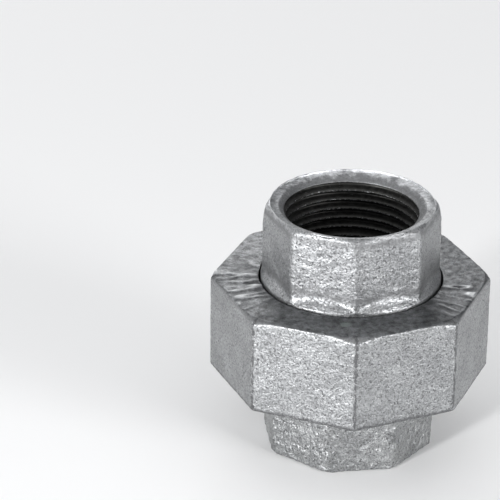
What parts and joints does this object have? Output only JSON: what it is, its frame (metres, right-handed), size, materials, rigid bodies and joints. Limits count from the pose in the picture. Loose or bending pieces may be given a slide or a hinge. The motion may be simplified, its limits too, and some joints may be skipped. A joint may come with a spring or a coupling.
{
  "type": "pipe union",
  "caption": "Female-to-female pipe union in zinc-coated malleable iron: threaded body, tailpiece with a metal cone seat, and an octagonal nut that draws them together.",
  "frame": {"origin": "centre of the threaded body's end face, on the waterway's axis", "axes": "+Z along the waterway from the threaded body to the tailpiece; X and Y square to the body's octagonal flats"},
  "size_m": [0.064, 0.064, 0.0596],
  "materials": {
    "body_zinc": "hot-dip zinc coat on cast iron, with bare oiled threads",
    "tail_zinc": "hot-dip zinc coat on cast iron, with bare oiled threads",
    "nut_zinc": "hot-dip zinc coat on cast iron, with bare oiled threads"
  },
  "bodies": {
    "body": {"threaded_body": "body_zinc"},
    "tail": {"tailpiece": "tail_zinc"},
    "nut": {"union_nut": "nut_zinc"}
  },
  "joints": [
    {"name": "tail_lift", "type": "slide", "parent": "body", "child": "tail", "axis": [0, 0, 1], "range_m": [0, 0.01097]},
    {"name": "nut_turn", "type": "hinge", "parent": "tail", "child": "nut", "pos_m": [0, 0, 0.0298], "axis": [0, 0, 1], "range_deg": [0, 1710]}
  ],
  "couplings": [
    {"joint": "tail_lift", "follows": "nut_turn", "m_per_rad": 0.00036749}
  ]
}
